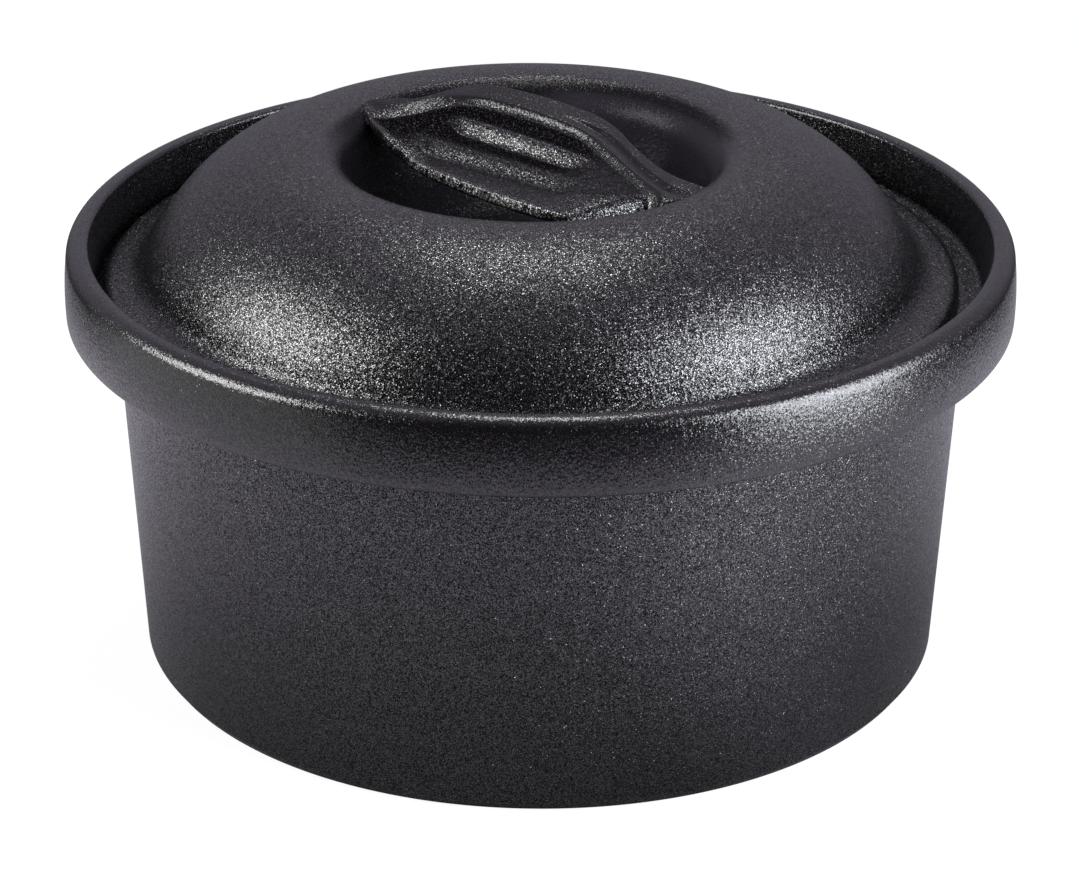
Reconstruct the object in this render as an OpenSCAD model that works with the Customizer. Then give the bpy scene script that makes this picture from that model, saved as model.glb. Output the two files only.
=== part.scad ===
// Round black casserole dish with a lift-off domed lid and a leaf-shaped grip.
// Units are millimetres, +Z is up, and the origin is the centre of the base on the table.

/* [Dish] */
// Outer diameter of the rim
rim_d = 230; // [212:1:260]
// Width of the rim's top, from its inner to its outer edge
rim_w = 6.2; // [5:0.1:8]
// Height of the dish, from the table to the rim
dish_h = 105.5; // [80:0.5:140]
// How far the collar stands out from the wall below it
collar_out = 11.9; // [10:0.1:14]
// How far the wall leans in, from the collar to the base
wall_lean = 4.6; // [2:0.1:10]
// Thickness of the wall
wall_t = 6; // [5:0.1:7.5]
// Thickness of the floor
floor_t = 6.5; // [5:0.1:10]
// Radius between floor and wall inside the dish
floor_fillet = 14; // [8:0.5:20]
// Height of the slanted foot edge
foot_h = 2.2; // [1:0.1:4]
// How far the foot edge is set in
foot_in = 1.6; // [0.5:0.1:4]

/* [Rim and lid seat] */
// Depth of the lid's seat below the rim
seat_depth = 13.4; // [11:0.1:18]
// Thickness of the shelf under the seat
shelf_t = 4.6; // [4:0.1:7]
// How much narrower the collar's opening is at the seat than at the rim, on the radius
collar_draft = 1.4; // [0.5:0.1:2]
// Radius of the rim's outer top edge
rim_outer_edge = 3.9; // [2:0.1:4.5]
// Radius of the rim's inner top edge
rim_inner_edge = 1.2; // [0.5:0.1:2]
// Radius of the collar's lower edge
collar_edge = 2.9; // [1:0.1:4]
// Radius where the collar meets the seat
seat_fillet = 2; // [1:0.1:3]
// Radius of the seat's inner edge
seat_edge = 1.5; // [0.5:0.1:2.5]

/* [Lid] */
// Play between lid and collar, on the radius
lid_play = 3.6; // [3:0.1:5]
// How far the lid lies off centre in its seat, to the right
lid_off_x = -2.4; // [-2.5:0.1:2.5]
// How far the lid lies off centre in its seat, to the back
lid_off_y = 1.4; // [-1.5:0.1:1.5]
// Thickness of the lid
lid_t = 5.5; // [4:0.1:7]
// Thickness of the flange that rests on the seat
flange_t = 3.6; // [3.5:0.1:6]
// Width of the flange, from the dome's foot to its edge
flange_w = 5.4; // [4:0.1:9]
// Radius of the flange's top edge
flange_edge = 2.4; // [1:0.1:2.5]
// Radius of the flange's lower edge
flange_under = 0.9; // [0.5:0.1:1]
// Height of the dome's crest above the rim
crest_rise = 20.8; // [16:0.1:26]
// Radius of the dome's outer curve, seen in section
dome_r = 43; // [38:0.5:48]
// Radius where the dome runs out into the flange
dome_foot_r = 6; // [3:0.5:9]

/* [Finger recess] */
// Depth of the recess below the crest
recess_depth = 26.8; // [20:0.1:31]
// Radius of the recess's rounded brim, seen in section
brim_r = 15; // [9:0.5:16]
// Radius of the recess's bowl, seen in section
bowl_r = 24; // [18:0.5:25]

/* [Leaf grip] */
// Direction of the leaf in plan, in degrees from the X axis
leaf_turn = -38; // [-90:1:90]
// How far the leaf's tips stop short of the crest
leaf_tip_in = 4; // [3:0.1:5]
// Width of the leaf's blunt tips
leaf_tip_w = 4.6; // [4:0.1:8]
// Widest reach of the leaf on its high side
leaf_far_w = 18.5; // [14:0.1:20]
// Widest reach of the leaf on its low side
leaf_near_w = 22.5; // [14:0.1:24]
// Height of the leaf's middle above the crest, negative for below
leaf_lift = -0.4; // [-2:0.1:3]
// Side slope of the blade at its middle, as rise over run
leaf_slope = 0.24; // [0:0.01:0.3]
// Fall of the blade from its left to its right tip, as rise over run
leaf_fall = 0.03; // [-0.05:0.01:0.05]
// Thickness of the blade's edge
leaf_edge_t = 2.6; // [2:0.1:3.5]
// How much thicker the blade is along its middle
leaf_belly = 5.5; // [3:0.1:7]
// Height of the ridge along the blade's high side
ridge_h = 0.8; // [0.3:0.1:1.5]
// Depth of the two grooves beside the midrib
groove_depth = 1.8; // [0.5:0.1:2.5]
// Width of each groove
groove_w = 4; // [3:0.1:5]
// Distance from the midrib's middle to each groove's middle
groove_off = 6.5; // [5:0.1:8]
// Length of each groove
groove_len = 34; // [24:1:42]
// How far each groove is shifted along the leaf, towards the leaf's wider end on its side
groove_shift = 4.5; // [0:0.5:8]

/* [Hidden] */

$fn = 144;
// Straight pieces that a round stretch of a section is drawn with
arc_steps = 12;
dish_colour = "#2b2a2e";
lid_colour = "#29282c";

rim_r = rim_d / 2;
bore_top_r = rim_r - rim_w;
seat_r = bore_top_r - collar_draft;
seat_z = dish_h - seat_depth;
shelf_z = seat_z - shelf_t;
wall_top_r = rim_r - collar_out;
wall_base_r = wall_top_r - wall_lean;
pot_top_r = wall_top_r - wall_t;
// Inward lean of the wall for each millimetre of height
wall_rate = wall_lean / (shelf_z - foot_h);
pot_floor_r = pot_top_r - wall_rate * (seat_z - floor_t);

lid_r = seat_r - lid_play;
flange_top = seat_z + flange_t;
crest_z = dish_h + crest_rise;
dome_sum = dome_r + dome_foot_r;
dome_angle = acos(1 - (crest_z - flange_top) / dome_sum);
dome_foot = lid_r - flange_w;
crest_r = dome_foot - dome_sum * sin(dome_angle);
bowl_sum = brim_r + bowl_r;
bowl_angle = acos(1 - recess_depth / bowl_sum);
recess_r = crest_r - bowl_sum * sin(bowl_angle);
recess_z = crest_z - recess_depth;
// Angle at which the dome's inner face meets the flange's underside
inner_angle = acos((seat_z - (crest_z - dome_r)) / (dome_r - lid_t));

leaf_half = crest_r - leaf_tip_in;
leaf_z = crest_z + leaf_lift;
// Each tip ends in a point this far on, in the middle of the brim's thickness
leaf_nose = 2.5;
leaf_nose_z = crest_z - lid_t / 2;
// Stations along the leaf, points across its top and points across its underside
leaf_stations = 36;
leaf_top_n = 22;
leaf_under_n = 6;
// Along the leaf, s runs from -1 at the left tip to 1 at the right tip. Each side has a full
// shoulder towards one tip and a long taper towards the other, at these places of s.
far_shoulder_at = 0.74;
far_taper_at = 0.55;
far_taper_soft = 0.12;
far_round = 0.42;
near_shoulder_at = 0.88;
near_taper_at = 0.68;
near_taper_soft = 0.25;
near_round = 0.2;
shoulder_soft = 0.047;
// How much more the blade leans at its left tip than at its middle
leaf_twist = 0.56;
// Place of the ridge across the high side, and its half width, as shares of the reach
ridge_at = 0.63;
ridge_soft = 0.2;
// Place of the midrib's middle, and where the grooves are centred along the leaf
rib_n = 1;
groove_t = -5;
groove_end_soft = 1.5;

// Points of a round stretch about a centre, between two angles
function arc(centre, r, from, to) =
    [for (i = [0:arc_steps]) let (a = from + (to - from) * i / arc_steps)
        centre + r * [cos(a), sin(a)]];

// Half of the dish's section, as radius and height
function dish_section() = concat(
    [[0, 0], [wall_base_r - foot_in, 0], [wall_base_r, foot_h], [wall_top_r, shelf_z]],
    arc([rim_r - collar_edge, shelf_z + collar_edge], collar_edge, -90, 0),
    arc([rim_r - rim_outer_edge, dish_h - rim_outer_edge], rim_outer_edge, 0, 90),
    arc([bore_top_r + rim_inner_edge, dish_h - rim_inner_edge], rim_inner_edge, 90, 180),
    arc([seat_r - seat_fillet, seat_z + seat_fillet], seat_fillet, 0, -90),
    arc([pot_top_r + seat_edge, seat_z - seat_edge], seat_edge, 90, 180),
    arc([pot_floor_r - floor_fillet, floor_t + floor_fillet], floor_fillet, 0, -90),
    [[0, floor_t]]
);

// Half of the lid's section without the leaf
function lid_section() = concat(
    [[0, recess_z]],
    arc([recess_r, recess_z + bowl_r], bowl_r, -90, bowl_angle - 90),
    arc([crest_r, crest_z - brim_r], brim_r, 90 + bowl_angle, 90),
    arc([crest_r, crest_z - dome_r], dome_r, 90, 90 - dome_angle),
    arc([dome_foot, flange_top + dome_foot_r], dome_foot_r, 270 - dome_angle, 270),
    arc([lid_r - flange_edge, flange_top - flange_edge], flange_edge, 90, 0),
    arc([lid_r - flange_under, seat_z + flange_under], flange_under, 0, -90),
    arc([crest_r, crest_z - dome_r], dome_r - lid_t, 90 - inner_angle, 90),
    arc([crest_r, crest_z - brim_r], brim_r - lid_t, 90, 90 + bowl_angle),
    arc([recess_r, recess_z + bowl_r], bowl_r + lid_t, bowl_angle - 90, -90),
    [[0, recess_z - lid_t]]
);

// Share of the widest reach; x runs from the shoulder's tip at -1 to the taper's tip at 1
function side_share(x, shoulder_at, taper_at, taper_soft, side_round) = (1 - side_round * x * x)
    / (1 + exp(-(x + shoulder_at) / shoulder_soft)) / (1 + exp((x - taper_at) / taper_soft));
function far_share(s) = side_share(s, far_shoulder_at, far_taper_at, far_taper_soft, far_round);
function near_share(s) = side_share(-s, near_shoulder_at, near_taper_at, near_taper_soft, near_round);
function reach(s, v) = leaf_tip_w / 2 + (v > 0 ? (leaf_far_w - leaf_tip_w / 2) * far_share(s)
                                               : (leaf_near_w - leaf_tip_w / 2) * near_share(s));

function bell(x, half_w) = exp(-x * x / (half_w * half_w));
// One groove; side is 1 on the high side of the midrib and -1 on its low side
function groove(t, n, side) = bell(n - rib_n - side * groove_off, groove_w / 2)
    / (1 + exp((abs(t - groove_t + side * groove_shift) - groove_len / 2) / groove_end_soft));

// Height of the blade's plane; v runs from -1 at the low edge to 1 at the high edge
function blade_plane(s, v) =
    leaf_z - leaf_fall * s * leaf_half + leaf_slope * (1 - leaf_twist * s) * v * reach(s, v);
function blade_top(s, v) =
    let (t = s * leaf_half, n = v * reach(s, v))
    blade_plane(s, v) - groove_depth * (groove(t, n, 1) + groove(t, n, -1))
    + ridge_h * bell(v - ridge_at, ridge_soft) * (1 - s * s);
function blade_under(s, v) =
    blade_plane(s, v) - leaf_edge_t - leaf_belly * (1 - v * v) * (1 - s * s);

// One closed ring of points around the blade
function leaf_ring(s) = concat(
    [for (i = [0:leaf_top_n]) let (v = 1 - 2 * i / leaf_top_n)
        [s * leaf_half, v * reach(s, v), blade_top(s, v)]],
    [for (i = [0:leaf_under_n]) let (v = 2 * i / leaf_under_n - 1)
        [s * leaf_half, v * reach(s, v), blade_under(s, v)]]
);

function nose(end) = [end * (leaf_half + leaf_nose), 0, leaf_nose_z];

module leaf() {
    ring_n = leaf_top_n + leaf_under_n + 2;
    last = leaf_stations * ring_n;
    points = concat([for (k = [0:leaf_stations]) each leaf_ring(2 * k / leaf_stations - 1)],
        [nose(-1), nose(1)]);
    sides = [for (k = [0:leaf_stations - 1], i = [0:ring_n - 1])
        let (a = k * ring_n + i, b = k * ring_n + (i + 1) % ring_n, c = a + ring_n, d = b + ring_n)
        each [[a, c, b], [b, c, d]]];
    left_end = [for (i = [0:ring_n - 1]) [i, (i + 1) % ring_n, last + ring_n]];
    right_end = [for (i = [0:ring_n - 1]) [last + (i + 1) % ring_n, last + i, last + ring_n + 1]];
    polyhedron(points, concat(sides, left_end, right_end), convexity = 6);
}

module dish() {
    color(dish_colour) rotate_extrude() polygon(dish_section());
}

module lid() {
    color(lid_colour) translate([lid_off_x, lid_off_y, 0]) {
        rotate_extrude() polygon(lid_section());
        rotate(leaf_turn) leaf();
    }
}

dish();
lid();
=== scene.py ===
"""Round black casserole dish with a lift-off domed lid and a leaf-shaped grip.

The frame is in metres. Sizes below are written in millimetres, as in the part's source.
"""

import math

import bmesh
import bpy
from mathutils import Matrix, Vector
from mathutils.kdtree import KDTree


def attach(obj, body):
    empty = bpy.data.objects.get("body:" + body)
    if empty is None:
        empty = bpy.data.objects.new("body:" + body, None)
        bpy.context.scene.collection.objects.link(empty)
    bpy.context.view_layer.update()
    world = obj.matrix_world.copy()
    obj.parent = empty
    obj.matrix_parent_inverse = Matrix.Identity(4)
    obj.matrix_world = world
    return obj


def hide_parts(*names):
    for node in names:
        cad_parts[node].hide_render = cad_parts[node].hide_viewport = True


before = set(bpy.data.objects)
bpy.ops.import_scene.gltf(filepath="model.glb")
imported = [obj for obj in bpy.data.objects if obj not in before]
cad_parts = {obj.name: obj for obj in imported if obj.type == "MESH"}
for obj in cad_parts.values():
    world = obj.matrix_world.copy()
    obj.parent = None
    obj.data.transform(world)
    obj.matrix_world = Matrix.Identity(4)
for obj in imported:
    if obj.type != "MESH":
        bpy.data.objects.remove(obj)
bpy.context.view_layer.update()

MM = 0.001
QUARTER = math.pi / 2
SPIN_STEPS = 288
SHARP_ANGLE = math.radians(35)

# Dish
RIM_R = 115
RIM_W = 6.2
DISH_H = 105.5
COLLAR_OUT = 11.9
WALL_LEAN = 4.6
WALL_T = 6
FLOOR_T = 6.5
FLOOR_FILLET = 14
FOOT_H = 2.2
FOOT_IN = 1.6
SEAT_DEPTH = 13.4
SHELF_T = 4.6
COLLAR_DRAFT = 1.4
COLLAR_CROWN_R = 80
COLLAR_TURN_IN = math.radians(3)
RIM_OUTER_EDGE = 3.3
RIM_INNER_EDGE = 1.2
COLLAR_EDGE = 1.0
SEAT_FILLET = 2
SEAT_EDGE = 1.5
BORE_TOP_R = RIM_R - RIM_W
SEAT_R = BORE_TOP_R - COLLAR_DRAFT
SEAT_Z = DISH_H - SEAT_DEPTH
SHELF_Z = SEAT_Z - SHELF_T
WALL_TOP_R = RIM_R - COLLAR_OUT
WALL_BASE_R = WALL_TOP_R - WALL_LEAN
# The collar's face is slightly crowned, and widest a little above its lower edge
CROWN_Z = SHELF_Z + COLLAR_EDGE + (COLLAR_CROWN_R - COLLAR_EDGE) * math.sin(COLLAR_TURN_IN)
CROWN_TOP = math.asin((DISH_H - RIM_OUTER_EDGE - CROWN_Z) / (COLLAR_CROWN_R - RIM_OUTER_EDGE))
CROWN_AXIS_R = RIM_R - COLLAR_CROWN_R
POT_TOP_R = WALL_TOP_R - WALL_T
POT_FLOOR_R = POT_TOP_R - WALL_LEAN / (SHELF_Z - FOOT_H) * (SEAT_Z - FLOOR_T)

# Lid
LID_OFF = Vector((-2.4, 1.4, 0))
LID_PLAY = 3.6
LID_R = SEAT_R - LID_PLAY
LID_T = 5.5
FLANGE_W = 5.4
FLANGE_T = 3.6
FLANGE_EDGE = 2.4
FLANGE_UNDER = 0.9
DOME_RISE = 20.8
DOME_R = 43
DOME_FOOT_R = 6
RECESS_DEPTH = 26.8
BRIM_R = 10
BOWL_R = 24
FLANGE_TOP = SEAT_Z + FLANGE_T
CREST_Z = DISH_H + DOME_RISE
DOME_ANGLE = math.acos(1 - (CREST_Z - FLANGE_TOP) / (DOME_R + DOME_FOOT_R))
DOME_FOOT = LID_R - FLANGE_W
CREST_R = DOME_FOOT - (DOME_R + DOME_FOOT_R) * math.sin(DOME_ANGLE)
BOWL_ANGLE = math.acos(1 - RECESS_DEPTH / (BRIM_R + BOWL_R))
RECESS_R = CREST_R - (BRIM_R + BOWL_R) * math.sin(BOWL_ANGLE)
RECESS_Z = CREST_Z - RECESS_DEPTH
INNER_ANGLE = math.acos((SEAT_Z - (CREST_Z - DOME_R)) / (DOME_R - LID_T))

# Leaf grip; its lines are drawn as places along the leaf (t) and across it (n)
LEAF_TURN = math.radians(-38)
LEAF_START = -50.5
LEAF_END = 49
LEAF_HALF = 49
LEAF_SINK = 0.4
LEAF_Z = CREST_Z - LEAF_SINK
LEAF_SLOPE = 0.24
LEAF_TWIST = 0.56
LEAF_FALL = 0.03
# The plane is more level left of the nose line, and along the lip above the ridge
NOSE_AT = -30
NOSE_LEVEL = 0.15
LIP_SPAN = (-27, 16)
LIP_LEVEL = 0.1
LEAF_EDGE_T = 2.6
LEAF_BELLY = 5.5
# Rounding of the leaf's edges, and how far the underside's near edge stands out
EDGE_FAR = 0.5
EDGE_NEAR = 0.5
EDGE_UNDER = 0.5
LOW_LIP = 0.6
# The blade's right end bends down past a slanting line: where that line crosses DROOP_MID, and its slant
DROOP_START = 35.5
DROOP_MID = -6
DROOP_SLANT = 0.5
DROOP_SLOPE = 1.75
DROOP_MAX = 5
# It begins this far below the ridge, and only right of this place along the leaf
DROOP_BELOW = 1.2
DROOP_FROM = 20
FAR_EDGE = [(-50.5, -2.2), (-49.5, -0.8), (-48, 0.3), (-44, 2.8), (-40, 4.6), (-38, 7.1), (-36, 10.3),
            (-34, 13.4), (-30, 16.4), (-25, 17.6), (-20, 18.4), (-10, 19.6), (0, 19.9), (5, 19.7), (10, 18.5),
            (15, 16.3), (20, 13.3), (25, 10.8), (30, 8.6), (35, 6.9), (40, 5.9), (49, 5.5)]
NEAR_EDGE = [(-50.5, -3.4), (-49.5, -4.1), (-48, -5), (-44, -8), (-40, -10.4), (-35, -12.8), (-30, -14.5),
             (-25, -15.7), (-20, -16.8), (-10, -18.5), (0, -19.8), (10, -20.9), (20, -21.6), (25, -21.6),
             (30, -21), (33, -20), (36, -18.3), (39, -15.8), (41, -13.5), (43, -10.3), (44.5, -6), (46, -3),
             (49, -1.5)]
# Steps across the leaf, from its lip to its near edge: the surface drops at a step and then climbs slowly
RIDGE_LINE = [(-50.5, -2.6), (-47, -3.4), (-44, -3.5), (-40, -0.8), (-36, 3.7), (-33, 7), (-30, 9),
              (-25, 10.4), (-20, 11), (-10, 11.7), (0, 11.6), (5, 11.3), (10, 10), (15, 7.9), (20, 5.7),
              (25, 3.6), (30, 1.3), (35, -1.1), (40, -3.6), (43, -5.6), (49, -6.5)]
RIDGE_DROP = [(-50.5, 0.3), (-44, 0.9), (-36, 1.2), (-31, 1.2), (-25, 1.6), (30, 1.6), (40, 1.4), (49, 0.6)]
RIDGE_HALF = [(-50.5, 1.5), (-44, 2.4), (-36, 2.8), (-31, 1.6), (-25, 0.65), (30, 0.65), (40, 0.8),
              (49, 0.8)]
RIDGE_CLIMB = 9
CREASE_LINE = [(-50.5, 15), (3, 14.9), (10, 14.2), (15, 12.6), (20, 10.2), (25, 7.4), (30, 5), (35, 3),
               (40, 1.4), (49, 0.9)]
CREASE_SPAN = (5, 47)
CREASE_DROP = 1.0
CREASE_HALF = 0.3
CREASE_CLIMB = 2.6
# The rib and the pale band below it: start and end along the leaf, place across, depth, half width, climb
BLADE_STEPS = [(-24, 15, 1.2, 2.8, 1.15, 6.8), (-25, 20, -9.6, 1.9, 1.2, 7.5)]
# Grid of each side of the leaf
LEAF_ALONG = 160
LEAF_ACROSS = 140
# Where the leaf meets the lid: points nearer than this are welded; the seam's width and smoothing passes
WELD = 0.02
SEAM_W = 1.2
SEAM_PASSES = 5

# Glaze. The sand is of about 0.15 mm, drawn as grains of 0.2 mm because finer ones don't show in the render
GRAIN = 0.2
SKIN = 0.8
SKIN_DEPTH = 0.085
FLOW = 9
FLOW_DEPTH = 0.08
# Shares of its gloss that are taken from the lid's glaze as painted shade: in the recess, on the brim behind
# it, on the leaf's lip and in the leaf's crease
PAINTED_SHADE_RECESS = 0.93
PAINTED_SHADE_BRIM = 0.9
PAINTED_SHADE_LIP = 0.5
PAINTED_SHADE_CREASE = 0.8
# Where the rib and the pale band keep their gloss, free of the painted shade: from and to along the leaf,
# from and to across it
GLOSSY_RIB = (-23.5, 15.5, -0.3, 2.8)
GLOSSY_BAND = (-25, 20, -11.3, -8)
# Shares of gloss that the blade keeps, free of the painted shade, in the pale band, right of a place along
# it, and nearer than a place across it
KEPT_BAND = 0.9
KEPT_RIGHT = 0.15
KEPT_RIGHT_FROM = 18
KEPT_NEAR = 0.35
KEPT_NEAR_FROM = -12.5
# How much the collar, the recess, its right side and the brim behind it are wiped, and where along the leaf
# its wiped lip ends
COLLAR_POLISH = 0.7
RECESS_POLISH = 0.5
# The recess's right side is wiped more, and that extra share also brings in its painted light, a paler grey
RIGHT_POLISH_AND_PAINTED_LIGHT = 0.45
BRIM_POLISH = 0.65
LIP_POLISH_END = 42
# The brim is behind past BEHIND_Y. A point counts as on the leaf's upper side within LEAF_SKIN of it, and as
# on its lip within LEAF_DEPTH of the crest
BEHIND_Y = 4
LEAF_SKIN = 0.5
LEAF_DEPTH = 8

# Studio, in metres: the cold light that the glaze mirrors, the side where the sky is pale, the table with
# the two places on it where it mirrors darkest and palest, a painted shade and a painted pool of light, and
# the height at which the lamps aim
STUDIO_TINT = "#f2ebff"
SKY_PALE_SIDE = (0, 0.6, 0.8)
TABLE_R = 0.34
TABLE_PAINTED_SHADE_AT = (0.012, 0, 0)
TABLE_PAINTED_LIGHT_AT = (0.12, -0.15, 0)
LAMPS_AIM_Z = 0.07


def linear(hex_colour):
    """An sRGB hex colour as linear RGBA."""
    parts = [int(hex_colour[i:i + 2], 16) / 255 for i in (1, 3, 5)]
    return [p / 12.92 if p <= 0.04045 else ((p + 0.055) / 1.055) ** 2.4 for p in parts] + [1]


def add(tree, kind, links=(), **settings):
    """Adds a node; links are (socket, source socket) pairs, settings its properties and socket values."""
    node = tree.nodes.new(kind)
    for key, value in settings.items():
        if hasattr(node, key):
            setattr(node, key, value)
        else:
            node.inputs[key.replace("_", " ")].default_value = value
    for socket, source in links:
        tree.links.new(source, node.inputs[socket])
    return node


def new_material(name):
    """A material with an empty node tree, and that tree."""
    material = bpy.data.materials.new(name)
    material.use_nodes = True
    material.node_tree.nodes.clear()
    return material, material.node_tree


def sand_glaze():
    """Matte black glaze on stoneware with fine sand in it: a coat that is nearly black by itself, with a
    faint violet tint. Its grains lie at all angles and some are dull, so that each highlight breaks into
    glints; the parts that were wiped before firing (attribute "polish") are smoother. A second attribute
    carries painted shade: where it is set the glaze loses its gloss, so that the recess, the brim behind it
    and the leaf's blade, lip and crease show dark. Where both attributes are high, on the recess's right
    side, a paler grey is painted in as light."""
    material, tree = new_material("black_sand_glaze")
    place = add(tree, "ShaderNodeTexCoord").outputs["Object"]
    polish = add(tree, "ShaderNodeAttribute", attribute_name="polish").outputs["Fac"]
    # This second attribute carries the painted shade of the lid
    painted_shade = add(tree, "ShaderNodeAttribute", attribute_name="painted_shade").outputs["Fac"]
    grain = add(tree, "ShaderNodeTexVoronoi", [("Vector", place)], Scale=1 / (GRAIN * MM))
    lot = add(tree, "ShaderNodeTexWhiteNoise", [("Vector", grain.outputs["Position"])])
    # Most grains lie nearly flat in the glaze, and a few stand out of it
    stand = add(tree, "ShaderNodeMath", [(0, lot.outputs["Value"])], operation="POWER")
    stand.inputs[1].default_value = 3.0
    stand = add(tree, "ShaderNodeMapRange", [("Value", stand.outputs["Value"])], To_Min=0.3, To_Max=1.1)
    kept = add(tree, "ShaderNodeMapRange", [("Value", polish)], To_Min=1.0, To_Max=0.3)
    stand = add(tree, "ShaderNodeMath", [(0, stand.outputs["Result"]), (1, kept.outputs["Result"])],
                operation="MULTIPLY")
    lean = add(tree, "ShaderNodeVectorMath", [(0, grain.outputs["Color"])], operation="SUBTRACT")
    lean.inputs[1].default_value = (0.5, 0.5, 0.5)
    lean = add(tree, "ShaderNodeVectorMath", [(0, lean.outputs["Vector"]), ("Scale", stand.outputs["Value"])],
               operation="SCALE")
    # Leathery skin of the fired glaze, about 1 mm from wrinkle to wrinkle, on slow waves of its flow
    skin = add(tree, "ShaderNodeTexNoise", [("Vector", place)], Scale=1 / (SKIN * MM), Detail=1.0)
    flow = add(tree, "ShaderNodeTexNoise", [("Vector", place)], Scale=1 / (FLOW * MM), Detail=2.0)
    slow = add(tree, "ShaderNodeBump", [("Height", flow.outputs["Fac"])], Strength=1.0,
               Distance=FLOW_DEPTH * MM)
    skin = add(tree, "ShaderNodeBump", [("Height", skin.outputs["Fac"]), ("Normal", slow.outputs["Normal"])],
               Strength=1.0, Distance=SKIN_DEPTH * MM)
    facing = add(tree, "ShaderNodeVectorMath", [(0, skin.outputs["Normal"]), (1, lean.outputs["Vector"])])
    facing = add(tree, "ShaderNodeVectorMath", [(0, facing.outputs["Vector"])], operation="NORMALIZE")
    chance = add(tree, "ShaderNodeSeparateColor", [("Color", lot.outputs["Color"])])
    dull = add(tree, "ShaderNodeMapRange", [("Value", chance.outputs["Red"])], To_Min=0.08, To_Max=0.45)
    dull = add(tree, "ShaderNodeMix", [("Factor", polish), ("A", dull.outputs["Result"])], B=0.2)
    # Most grains are duller than the glaze and a few glossier; in the painted shade only those that stand out
    # keep their gloss
    gloss = add(tree, "ShaderNodeMath", [(0, chance.outputs["Green"])], operation="POWER")
    gloss.inputs[1].default_value = 2.0
    gloss = add(tree, "ShaderNodeMapRange", [("Value", gloss.outputs["Value"])], To_Min=0.03, To_Max=1.45)
    gloss = add(tree, "ShaderNodeMix", [("Factor", polish), ("A", gloss.outputs["Result"])], B=0.5)
    # Painted shade: where the lid's shade attribute is set, all grains but those that stand out lose their
    # gloss
    painted_shade_mix = add(tree, "ShaderNodeMapRange", [("Value", lot.outputs["Value"])], From_Min=0.88, From_Max=0.97,
                 To_Min=1.0, To_Max=0.0)
    painted_shade_mix = add(tree, "ShaderNodeMath", [(0, painted_shade_mix.outputs["Result"]), (1, polish)], operation="MAXIMUM")
    painted_shade_mix = add(tree, "ShaderNodeMath", [(0, painted_shade_mix.outputs["Value"]), (1, painted_shade)], operation="MULTIPLY")
    gloss = add(tree, "ShaderNodeMix", [("Factor", painted_shade_mix.outputs["Value"]), ("A", gloss.outputs["Result"])],
                B=0.0)
    tint = add(tree, "ShaderNodeMix", [("Factor", lot.outputs["Value"])], data_type="RGBA")
    tint.inputs["A"].default_value = linear("#040304")
    tint.inputs["B"].default_value = linear("#0d0b0e")
    # Painted light: on the recess's right side, where it is both wiped and in the painted shade, the colour
    # is a little greyer
    painted_light_grey = add(tree, "ShaderNodeMath", [(0, polish), (1, painted_shade)], operation="MULTIPLY")
    painted_light_grey = add(tree, "ShaderNodeMapRange", [("Value", painted_light_grey.outputs["Value"])], From_Min=0.55,
                 From_Max=0.85)
    tint = add(tree, "ShaderNodeMix", [("Factor", painted_light_grey.outputs["Result"]), ("A", tint.outputs["Result"])],
               data_type="RGBA")
    tint.inputs["B"].default_value = linear("#2a272d")
    shader = add(tree, "ShaderNodeBsdfPrincipled", [("Base Color", tint.outputs["Result"]),
                                                    ("Roughness", dull.outputs["Result"]),
                                                    ("Specular IOR Level", gloss.outputs["Result"]),
                                                    ("Normal", facing.outputs["Vector"])], IOR=1.6)
    add(tree, "ShaderNodeOutputMaterial", [("Surface", shader.outputs["BSDF"])])
    return material


def mark(piece, name, amount):
    """Notes an amount at each point of a piece, from a function of the point's place."""
    values = piece.data.attributes.new(name, "FLOAT", "POINT").data
    for value, vert in zip(values, piece.data.vertices):
        value.value = amount(vert.co / MM)


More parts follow.
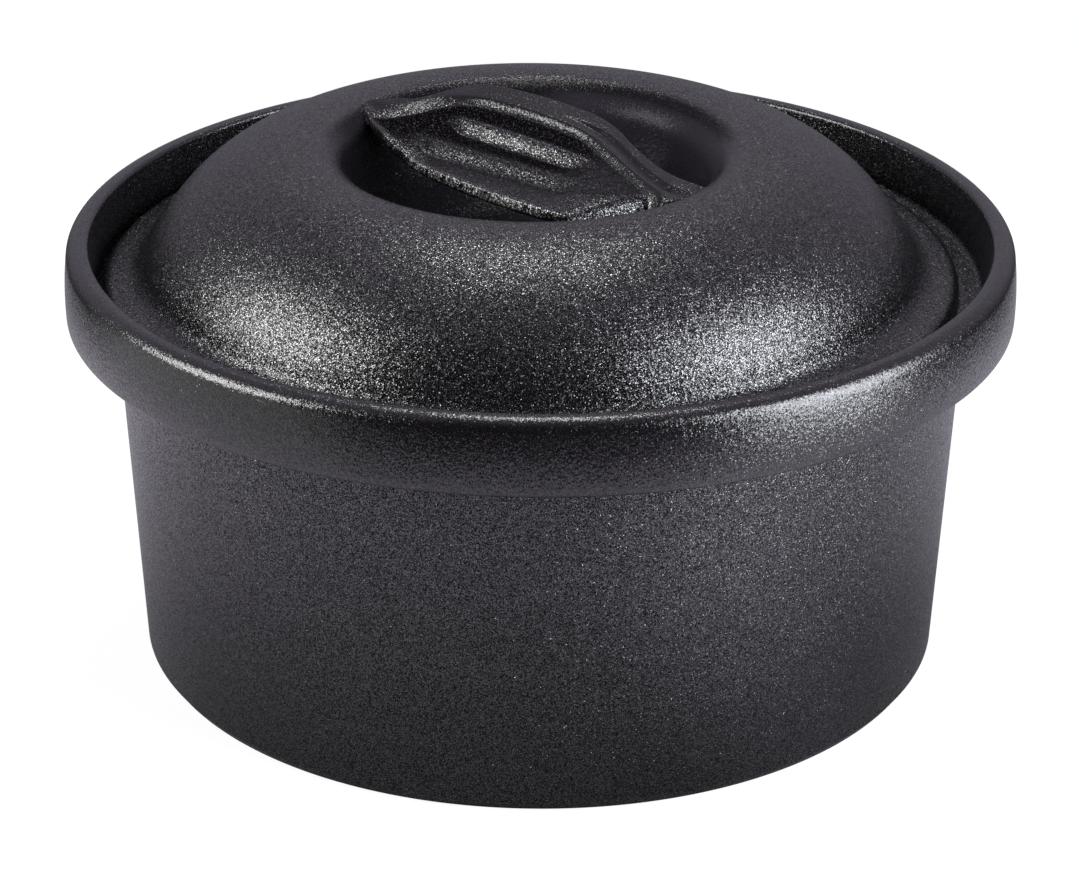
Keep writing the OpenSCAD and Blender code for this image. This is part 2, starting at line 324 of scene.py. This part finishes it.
def white_floor():
    """Plain white table: the camera sees it as white with the dish's shadow. The glaze mirrors a glow of it
    with
    painted light and shade: a painted shade near the dish, paler away from it, a painted pool of light at the
    front right, and darker far out and behind, which gives the wall and the collar their fall from pale to
    dark."""
    material, tree = new_material("white_floor")
    path = add(tree, "ShaderNodeLightPath")
    mirrored = add(tree, "ShaderNodeMath", [(0, path.outputs["Is Glossy Ray"]),
                                            (1, path.outputs["Is Transmission Ray"])], operation="MAXIMUM")
    place = add(tree, "ShaderNodeTexCoord")
    # Painted shade near the dish in the mirrored glow, paler away from it, and fading far out
    away = add(tree, "ShaderNodeVectorMath", [(0, place.outputs["Object"])], operation="DISTANCE")
    away.inputs[1].default_value = TABLE_PAINTED_SHADE_AT
    fading = add(tree, "ShaderNodeMapRange", [("Value", away.outputs["Value"])], From_Min=0.26, From_Max=0.31,
                 To_Min=1.0, To_Max=0.5)
    away = add(tree, "ShaderNodeMapRange", [("Value", away.outputs["Value"])], From_Min=0.1, From_Max=0.265,
               To_Min=0.05, To_Max=1.1)
    away = add(tree, "ShaderNodeMath", [(0, away.outputs["Result"]), (1, fading.outputs["Result"])],
               operation="MULTIPLY")
    # A painted pool of light at the front right
    pool = add(tree, "ShaderNodeVectorMath", [(0, place.outputs["Object"])], operation="DISTANCE")
    pool.inputs[1].default_value = TABLE_PAINTED_LIGHT_AT
    pool = add(tree, "ShaderNodeMapRange", [("Value", pool.outputs["Value"])], From_Min=0.0, From_Max=0.1,
               To_Min=0.95, To_Max=0.0)
    away = add(tree, "ShaderNodeMath", [(0, away.outputs["Value"]), (1, pool.outputs["Result"])])
    # Darker behind the dish
    depth = add(tree, "ShaderNodeSeparateXYZ", [("Vector", place.outputs["Object"])])
    behind = add(tree, "ShaderNodeMapRange", [("Value", depth.outputs["Y"])], From_Min=0.06, From_Max=0.18,
                 To_Min=1.0, To_Max=0.25)
    away = add(tree, "ShaderNodeMath", [(0, away.outputs["Value"]), (1, behind.outputs["Result"])],
               operation="MULTIPLY")
    mirrored = add(tree, "ShaderNodeMath", [(0, mirrored.outputs["Value"]), (1, away.outputs["Value"])],
                   operation="MULTIPLY")
    seen = add(tree, "ShaderNodeMath", [(0, path.outputs["Is Camera Ray"]), (1, mirrored.outputs["Value"])],
               operation="MAXIMUM")
    matte = add(tree, "ShaderNodeBsdfDiffuse", Color=linear("#747474"))
    colour = add(tree, "ShaderNodeMix", [("Factor", path.outputs["Is Camera Ray"])], data_type="RGBA")
    colour.inputs["A"].default_value = linear(STUDIO_TINT)
    colour.inputs["B"].default_value = linear("#efefef")
    glow = add(tree, "ShaderNodeEmission", [("Strength", seen.outputs["Value"]),
                                            ("Color", colour.outputs["Result"])])
    both = add(tree, "ShaderNodeAddShader", [(0, matte.outputs["BSDF"]), (1, glow.outputs["Emission"])])
    add(tree, "ShaderNodeOutputMaterial", [("Surface", both.outputs["Shader"])])
    return material


def draw_section(bm, start, moves):
    """Draws half a section in the XZ plane: a move is a line to (r, z), or an arc about (r, z) by an
    angle, with the length of its straight pieces."""
    last = bmesh.ops.create_vert(bm, co=Vector((start[0], 0, start[1])) * MM)["vert"][0]
    for move in moves:
        if len(move) == 2:
            grown = bmesh.ops.extrude_vert_indiv(bm, verts=[last])
            last = grown["verts"][0]
            last.co = Vector((move[0], 0, move[1])) * MM
        else:
            centre = Vector((move[0], 0, move[1])) * MM
            sweep = abs(move[2]) * (last.co - centre).length
            grown = bmesh.ops.spin(bm, geom=[last], cent=centre, axis=(0, -1, 0), angle=move[2],
                                   steps=max(4, round(sweep / (move[3] * MM))), use_duplicate=False)
            last = next(g for g in grown["geom_last"] if isinstance(g, bmesh.types.BMVert))


def turn_section(bm):
    """Turns the drawn half section into a closed body round the Z axis."""
    bmesh.ops.spin(bm, geom=bm.verts[:] + bm.edges[:], cent=(0, 0, 0), axis=(0, 0, 1), angle=math.tau,
                   steps=SPIN_STEPS, use_merge=True)
    bmesh.ops.remove_doubles(bm, verts=bm.verts[:], dist=1e-6)
    bmesh.ops.recalc_face_normals(bm, faces=bm.faces[:])


def finished(bm, name):
    """A smooth shaded piece from a bmesh, with its corners kept sharp."""
    mesh = bpy.data.meshes.new(name)
    bm.to_mesh(mesh)
    bm.free()
    mesh.shade_smooth()
    mesh.set_sharp_from_angle(angle=SHARP_ANGLE)
    piece = bpy.data.objects.new(name, mesh)
    bpy.context.scene.collection.objects.link(piece)
    return piece


def make_dish():
    """The dish's body, turned from its section: base, wall, collar, rim, seat and inside."""
    lower_edge_r = CROWN_AXIS_R + (COLLAR_CROWN_R - COLLAR_EDGE) * math.cos(COLLAR_TURN_IN)
    rim_edge_r = CROWN_AXIS_R + (COLLAR_CROWN_R - RIM_OUTER_EDGE) * math.cos(CROWN_TOP)
    bm = bmesh.new()
    draw_section(bm, (0, 0), [
        (WALL_BASE_R - FOOT_IN, 0),
        (WALL_BASE_R, FOOT_H),
        (WALL_TOP_R, SHELF_Z),
        (lower_edge_r, SHELF_Z),
        (lower_edge_r, SHELF_Z + COLLAR_EDGE, QUARTER - COLLAR_TURN_IN, 0.3),
        (CROWN_AXIS_R, CROWN_Z, COLLAR_TURN_IN + CROWN_TOP, 1.5),
        (rim_edge_r, DISH_H - RIM_OUTER_EDGE, QUARTER - CROWN_TOP, 0.4),
        (BORE_TOP_R + RIM_INNER_EDGE, DISH_H),
        (BORE_TOP_R + RIM_INNER_EDGE, DISH_H - RIM_INNER_EDGE, QUARTER, 0.4),
        (SEAT_R, SEAT_Z + SEAT_FILLET),
        (SEAT_R - SEAT_FILLET, SEAT_Z + SEAT_FILLET, -QUARTER, 0.5),
        (POT_TOP_R + SEAT_EDGE, SEAT_Z),
        (POT_TOP_R + SEAT_EDGE, SEAT_Z - SEAT_EDGE, QUARTER, 0.5),
        (POT_FLOOR_R, FLOOR_T + FLOOR_FILLET),
        (POT_FLOOR_R - FLOOR_FILLET, FLOOR_T + FLOOR_FILLET, -QUARTER, 1.5),
        (0, FLOOR_T),
    ])
    turn_section(bm)
    return finished(bm, "dish_body")


def make_lid():
    """The lid without its leaf, turned from its section: recess, dome, flange and underside."""
    crest = (CREST_R, CREST_Z - BRIM_R)
    dome = (CREST_R, CREST_Z - DOME_R)
    bowl = (RECESS_R, RECESS_Z + BOWL_R)
    bm = bmesh.new()
    draw_section(bm, (0, RECESS_Z), [
        (RECESS_R, RECESS_Z),
        (*bowl, BOWL_ANGLE, 1.0),
        (*crest, -BOWL_ANGLE, 0.9),
        (*dome, -DOME_ANGLE, 1.2),
        (DOME_FOOT, FLANGE_TOP + DOME_FOOT_R, DOME_ANGLE, 0.7),
        (LID_R - FLANGE_EDGE, FLANGE_TOP),
        (LID_R - FLANGE_EDGE, FLANGE_TOP - FLANGE_EDGE, -QUARTER, 0.5),
        (LID_R, SEAT_Z + FLANGE_UNDER),
        (LID_R - FLANGE_UNDER, SEAT_Z + FLANGE_UNDER, -QUARTER, 0.4),
        (CREST_R + (DOME_R - LID_T) * math.sin(INNER_ANGLE), SEAT_Z),
        (*dome, INNER_ANGLE, 1.5),
        (*crest, BOWL_ANGLE, 1.5),
        (*bowl, -BOWL_ANGLE, 1.5),
        (0, RECESS_Z - LID_T),
    ])
    turn_section(bm)
    bmesh.ops.translate(bm, verts=bm.verts[:], vec=LID_OFF * MM)
    return finished(bm, "lid_dome")


def along(points, t):
    """Height of a drawn line over t: a smooth curve through its points."""
    i = next((k for k in range(len(points) - 2) if t <= points[k + 1][0]), len(points) - 2)
    (t0, n0), (t1, n1) = points[i], points[i + 1]
    before, after = points[max(i - 1, 0)], points[min(i + 2, len(points) - 1)]
    start = (n1 - before[1]) / (t1 - before[0]) * (t1 - t0)
    end = (after[1] - n0) / (after[0] - t0) * (t1 - t0)
    x = (t - t0) / (t1 - t0)
    return ((1 + 2 * x) * (1 - x) ** 2 * n0 + x * (1 - x) ** 2 * start + x * x * (3 - 2 * x) * n1
            + x * x * (x - 1) * end)


def rise(x, soft):
    """Goes smoothly from 0 to 1 where x passes 0, within about two times soft to each side."""
    return 1 / (1 + math.exp(-x / soft))


def window(x, low, high, soft):
    """1 between low and high and 0 outside, with soft ends."""
    return rise(x - low, soft) * rise(high - x, soft)


def softened(x, soft=0.15):
    """0 where x is negative and x where it is positive, rounded between."""
    return 0.5 * (x + math.sqrt(x * x + 4 * soft * soft))


def step(below, half, climb):
    """How far the surface is down at a distance below the middle of a step: all of it at the step's foot,
    nothing past its climb."""
    down = (softened(below + half) - softened(below - half)) / (2 * half)
    return down * min(1, softened(1 - (below - half) / climb, 0.05))


def leaf_plane(t, n):
    """The leaf's twisted plane, more level across the nose."""
    slope = LEAF_SLOPE * (1 - LEAF_TWIST * t / LEAF_HALF) - NOSE_LEVEL * rise(NOSE_AT - t, 3)
    return LEAF_Z - LEAF_FALL * t + slope * n


def past_droop(t, n):
    """How far a place is past the line at which the blade's right end bends down."""
    return t - DROOP_START - DROOP_SLANT * (n - DROOP_MID)


def droop(t, n):
    """How far the blade's right end, below the ridge, bends down into the recess."""
    down = DROOP_SLOPE * softened(past_droop(t, n), 0.5)
    down -= softened(down - DROOP_MAX, 0.3)
    return down * rise(along(RIDGE_LINE, t) - DROOP_BELOW - n, 0.5) * rise(t - DROOP_FROM, 1)


def leaf_top(t, v):
    """Place across the leaf and height of its upper side; v is -1 at the near edge and 1 at the far one."""
    far, near = along(FAR_EDGE, t), along(NEAR_EDGE, t)
    n = near + (far - near) * (1 + v) / 2
    ridge, drop = along(RIDGE_LINE, t), along(RIDGE_DROP, t)
    z = leaf_plane(t, n) - LIP_LEVEL * window(t, *LIP_SPAN, 3) * softened(n - ridge, 0.5)
    z -= drop * step(ridge - n, along(RIDGE_HALF, t), RIDGE_CLIMB)
    crease = step(along(CREASE_LINE, t) - n, CREASE_HALF, CREASE_CLIMB)
    z -= CREASE_DROP * window(t, *CREASE_SPAN, 2.5) * crease
    for start, end, at, depth, half, climb in BLADE_STEPS:
        z -= depth * window(t, start, end, 1.2) * step(at - n, half, climb)
    z -= droop(t, n)
    edge, inside = (EDGE_FAR, far - n) if v > 0 else (EDGE_NEAR, n - near)
    into = 1 - min(1, max(0, inside / edge))
    return n, z - edge * (1 - math.sqrt(1 - into * into))


def leaf_under(t, v):
    """The same for the leaf's underside, which bellies out between the leaf's ends."""
    ends = 1 - (t / LEAF_START) ** 2
    far, near = along(FAR_EDGE, t), along(NEAR_EDGE, t) - LOW_LIP * ends
    n = near + (far - near) * (1 + v) / 2
    into = EDGE_UNDER - min(EDGE_UNDER, max(0, min(far - n, n - near)))
    z = leaf_plane(t, n) - LEAF_EDGE_T - LEAF_BELLY * (1 - v * v) * ends - droop(t, n)
    return n, z + EDGE_UNDER - math.sqrt(EDGE_UNDER ** 2 - into * into)


def leaf_place(place):
    """A place from the lid's own axis, and how far it is along and across the leaf."""
    place = place - LID_OFF
    spot = Matrix.Rotation(-LEAF_TURN, 3, "Z") @ place
    return place, spot.x, spot.y


def painted_shade_share(place):
    """How much shade is painted into the lid's glaze by taking its gloss away: in the recess, on the brim
    behind it and on the leaf's blade, lip and crease, less on the pale band, and not on the rib, the ridge,
    the near edge and the bent-down end."""
    place, t, n = leaf_place(place)
    if LEAF_START < t < LEAF_END:
        far, near = along(FAR_EDGE, t), along(NEAR_EDGE, t)
        if near < n < far and abs(leaf_top(t, 2 * (n - near) / (far - near) - 1)[1] - place.z) < LEAF_SKIN:
            ridge = along(RIDGE_LINE, t)
            # Painted shade between the ridge's foot and the near edge, but for the rib and the pale band
            blade = rise(ridge - n - along(RIDGE_HALF, t) - 0.3, 0.2) * rise(n - near - 1.0, 0.2)
            blade *= 1 - window(t, *GLOSSY_RIB[:2], 0.7) * window(n, *GLOSSY_RIB[2:], 0.2)
            blade *= 1 - KEPT_BAND * window(t, *GLOSSY_BAND[:2], 1.5) * window(n, *GLOSSY_BAND[2:], 0.4)
            # Less painted shade to the right and along the near edge, and none where the blade bends down
            blade *= ((1 - KEPT_RIGHT * rise(t - KEPT_RIGHT_FROM, 2))
                      * (1 - KEPT_NEAR * rise(KEPT_NEAR_FROM - n, 0.5)))
            blade *= 1 - rise(past_droop(t, n) + 1, 0.7)
            crease = window(t, 6, 47, 2) * window(along(CREASE_LINE, t) - n, 0.4, 2.4, 0.2)
            return max(blade, PAINTED_SHADE_LIP * rise(n - ridge, 0.5), PAINTED_SHADE_CREASE * crease)
    # Painted shade in the recess, and on the brim behind it
    inward = CREST_R - Vector((t, n)).length
    inside = rise(CREST_Z - place.z - 2, 0.6) * rise(inward - 3, 1.0) * PAINTED_SHADE_RECESS
    behind = rise(inward, 0.5) * rise(place.y - BEHIND_Y, 4)
    back_brim = PAINTED_SHADE_BRIM * rise(CREST_Z - place.z - 0.4, 0.15) * behind
    return max(inside, back_brim)


def wiped_part(place):
    """How smooth the lid's glaze is: the leaf's lip and the recess are wiped, as the dish's collar is."""
    place, t, n = leaf_place(place)
    inward = CREST_R - Vector((t, n)).length
    # The extra polish on the recess's right side also gives it its painted light, a paler grey
    recess = rise(inward - 5, 1.0) * (RECESS_POLISH + RIGHT_POLISH_AND_PAINTED_LIGHT * rise(place.x - 2, 3))
    back_brim = BRIM_POLISH * rise(inward - 1, 0.5) * rise(place.y - BEHIND_Y, 4)
    on_leaf = LEAF_START < t < LEAF_END and along(NEAR_EDGE, t) - 1 < n < along(FAR_EDGE, t) + 0.3
    if on_leaf and place.z > CREST_Z - LEAF_DEPTH:
        return rise(n - along(RIDGE_LINE, t), 0.3) * rise(LIP_POLISH_END - t, 1)
    return max(recess, back_brim)


def wiped_collar(place):
    """How smooth the dish's glaze is: its collar and rim are wiped."""
    return COLLAR_POLISH if place.z > SHELF_Z - 1 and place.xy.length > BORE_TOP_R else 0


def make_leaf():
    """The leaf as a closed body: two grids shaped by the leaf's formulas, joined along their borders."""
    bm = bmesh.new()
    for surface in (leaf_top, leaf_under):
        grid = bmesh.ops.create_grid(bm, x_segments=LEAF_ALONG, y_segments=LEAF_ACROSS, size=1)["verts"]
        for vert in grid:
            t = LEAF_START + (LEAF_END - LEAF_START) * (1 + vert.co.x) / 2
            n, z = surface(t, (vert.co.y + math.sin(vert.co.y * QUARTER)) / 2)
            vert.co = Vector((t, n, z)) * MM
    borders = [e for e in bm.edges if e.is_boundary]
    bmesh.ops.bridge_loops(bm, edges=borders)
    bmesh.ops.recalc_face_normals(bm, faces=bm.faces[:])
    bmesh.ops.rotate(bm, verts=bm.verts[:], matrix=Matrix.Rotation(LEAF_TURN, 3, "Z"))
    bmesh.ops.translate(bm, verts=bm.verts[:], vec=LID_OFF * MM)
    return finished(bm, "leaf_grip")


def fuse_leaf(lid, leaf):
    """Joins the leaf to the lid and smooths the meeting line, as the glaze does on the one casting."""
    # Two stand-in materials tell the sides apart, so that the meeting line can be found
    lid.data.materials.append(bpy.data.materials.new("lid_side"))
    leaf.data.materials.append(bpy.data.materials.new("leaf_side"))
    union = lid.modifiers.new("union", "BOOLEAN")
    union.operation, union.solver, union.object = "UNION", "EXACT", leaf
    union.material_mode = "TRANSFER"
    evaluated = lid.evaluated_get(bpy.context.evaluated_depsgraph_get())
    mesh = bpy.data.meshes.new_from_object(evaluated)
    lid.modifiers.clear()
    bpy.data.objects.remove(leaf)
    bm = bmesh.new()
    bm.from_mesh(mesh)
    # The union gives its points in another order on each run; the weld needs them in a fixed one
    for i, vert in enumerate(sorted(bm.verts, key=lambda v: v.co[:])):
        vert.index = i
    bm.verts.sort()
    bmesh.ops.remove_doubles(bm, verts=bm.verts[:], dist=WELD * MM)
    seam = {v for e in bm.edges if len({f.material_index for f in e.link_faces}) > 1 for v in e.verts}
    tree = KDTree(len(seam))
    for i, vert in enumerate(seam):
        tree.insert(vert.co, i)
    tree.balance()
    zone = [v for v in bm.verts if tree.find(v.co)[2] < SEAM_W * MM]
    for _ in range(SEAM_PASSES):
        bmesh.ops.smooth_vert(bm, verts=zone, factor=0.5, use_axis_x=True, use_axis_y=True, use_axis_z=True)
    for face in bm.faces:
        face.material_index = 0
        face.smooth = True
    bm.to_mesh(mesh)
    bm.free()
    mesh.materials.clear()
    lid.data = mesh


def area_light(name, azimuth, elevation, distance, size, power, colour="#ffffff"):
    """A soft box, in degrees, metres and watts; azimuth 0 is at the camera's side, positive to the right."""
    azimuth, elevation = math.radians(azimuth), math.radians(elevation)
    toward = Vector((math.sin(azimuth) * math.cos(elevation), -math.cos(azimuth) * math.cos(elevation),
                     math.sin(elevation)))
    lamp = bpy.data.lights.new(name, "AREA")
    lamp.shape = "RECTANGLE"
    lamp.size, lamp.size_y = size
    lamp.energy = power
    lamp.color = linear(colour)[:3]
    light = bpy.data.objects.new(name, lamp)
    light.location = toward * distance + Vector((0, 0, LAMPS_AIM_Z))
    light.rotation_euler = toward.to_track_quat("Z", "Y").to_euler()
    bpy.context.scene.collection.objects.link(light)


def studio_sky():
    """Surroundings that are white to the camera, and to the glaze dark low down, pale above and behind."""
    world = bpy.data.worlds.new("studio")
    bpy.context.scene.world = world
    world.use_nodes = True
    tree = world.node_tree
    tree.nodes.clear()
    seen = add(tree, "ShaderNodeLightPath").outputs["Is Camera Ray"]
    toward = add(tree, "ShaderNodeTexCoord").outputs["Generated"]
    height = add(tree, "ShaderNodeVectorMath", [(0, toward)], operation="DOT_PRODUCT")
    height.inputs[1].default_value = SKY_PALE_SIDE
    level = add(tree, "ShaderNodeMapRange", [("Value", height.outputs["Value"])], From_Min=0.25,
                From_Max=0.75, To_Min=0.04, To_Max=0.48)
    level = add(tree, "ShaderNodeMath", [(0, level.outputs["Result"]), (1, seen)], operation="MAXIMUM")
    colour = add(tree, "ShaderNodeMix", [("Factor", seen)], data_type="RGBA")
    colour.inputs["A"].default_value = linear(STUDIO_TINT)
    colour.inputs["B"].default_value = linear("#ffffff")
    sky = add(tree, "ShaderNodeBackground", [("Strength", level.outputs["Value"]),
                                             ("Color", colour.outputs["Result"])])
    add(tree, "ShaderNodeOutputWorld", [("Surface", sky.outputs["Background"])])


# Camera, from the photo's viewing angle; in metres and radians, with the lens in millimetres
LOOK_AT = Vector((-0.0001, 0, 0.05015))
VIEW_ELEVATION = 0.4288
VIEW_ROLL = 0.0041
VIEW_DISTANCE = 0.92879
SENSOR_W = 36
LENS = 124.91
camera_data = bpy.data.cameras.new("camera")
camera_data.sensor_fit = "HORIZONTAL"
camera_data.sensor_width = SENSOR_W
camera_data.lens = LENS
camera = bpy.data.objects.new("camera", camera_data)
back = Vector((0, -math.cos(VIEW_ELEVATION), math.sin(VIEW_ELEVATION)))
aim = Matrix.Rotation(VIEW_ROLL, 4, back) @ back.to_track_quat("Z", "Y").to_matrix().to_4x4()
camera.matrix_world = Matrix.Translation(LOOK_AT + back * VIEW_DISTANCE) @ aim
bpy.context.scene.collection.objects.link(camera)
bpy.context.scene.camera = camera

# The two pieces
glaze = sand_glaze()
dish_body = make_dish()
dish_body.data.materials.append(glaze)
mark(dish_body, "polish", wiped_collar)
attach(dish_body, "dish")
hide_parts("dish")

lid_dome = make_lid()
fuse_leaf(lid_dome, make_leaf())
lid_dome.data.materials.append(glaze)
# Painted shade in the lid's glaze, set at each point
mark(lid_dome, "painted_shade", painted_shade_share)
mark(lid_dome, "polish", wiped_part)
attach(lid_dome, "lid")
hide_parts("lid")

# The table, the lamps and the surroundings
bm = bmesh.new()
bmesh.ops.create_circle(bm, cap_ends=True, segments=96, radius=TABLE_R)
floor = finished(bm, "floor")
floor.data.materials.append(white_floor())

area_light("left_box", -80, 25, 1.6, (1.05, 0.85), 32)
area_light("left_panel", -82, -10, 1.6, (2.2, 0.8), 4.2)
area_light("right_box", 68, 15, 1.6, (1.2, 1.7), 81, "#f4f7ff")
area_light("top_box", 180, 69, 1.4, (0.16, 0.75), 6.0)

studio_sky()
bpy.context.scene.view_settings.view_transform = "Standard"
